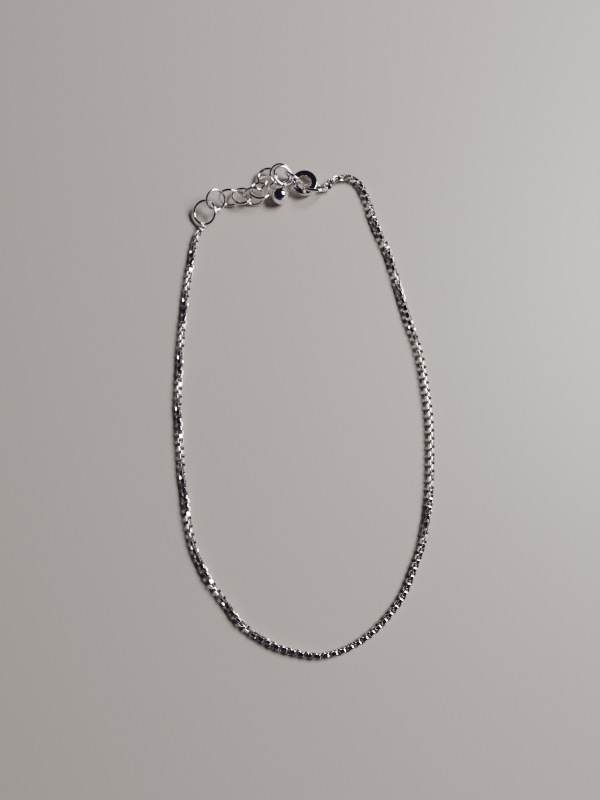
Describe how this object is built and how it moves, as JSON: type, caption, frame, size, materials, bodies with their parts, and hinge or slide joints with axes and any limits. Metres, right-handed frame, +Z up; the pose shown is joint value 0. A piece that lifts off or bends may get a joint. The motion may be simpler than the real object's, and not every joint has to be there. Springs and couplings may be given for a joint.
{
  "type": "venetian chain bracelet",
  "caption": "Fine silver box-link chain bracelet lying closed in a loop, with a spring ring clasp and a short extender of round links that ends in a ball.",
  "frame": {"origin": "middle of the closed loop's box, on the surface that it lies on", "axes": "+Y from the loop's lower bend to the clasp, +Z up from the surface, +X to the right seen from above"},
  "size_m": [0.0423, 0.0814, 0.0038],
  "materials": {
    "chain_silver": "polished sterling silver",
    "ring_silver": "polished sterling silver",
    "ball_silver": "mirror-polished sterling silver",
    "clasp_silver": "polished sterling silver",
    "bolt_wire": "bright drawn wire"
  },
  "bodies": {
    "bracelet": {"venetian_chain": "chain_silver", "end_ring": "ring_silver", "extender_link_01": "ring_silver", "extender_link_02": "ring_silver", "extender_link_03": "ring_silver", "extender_link_04": "ring_silver", "extender_link_05": "ring_silver", "extender_link_06": "ring_silver", "extender_link_07": "ring_silver", "extender_link_08": "ring_silver", "extender_link_09": "ring_silver", "extender_link_10": "ring_silver", "end_ball": "ball_silver", "clasp_ring": "ring_silver", "clasp_body": "clasp_silver"},
    "bolt": {"clasp_bolt": "bolt_wire"}
  },
  "joints": [
    {"name": "clasp_bolt_slide", "type": "hinge", "parent": "bracelet", "child": "bolt", "pos_m": [0, 0.0378, 0.00111], "axis": [0, 0, -1], "range_deg": [0, 36], "stiffness_Nm_per_rad": 0.000001}
  ]
}
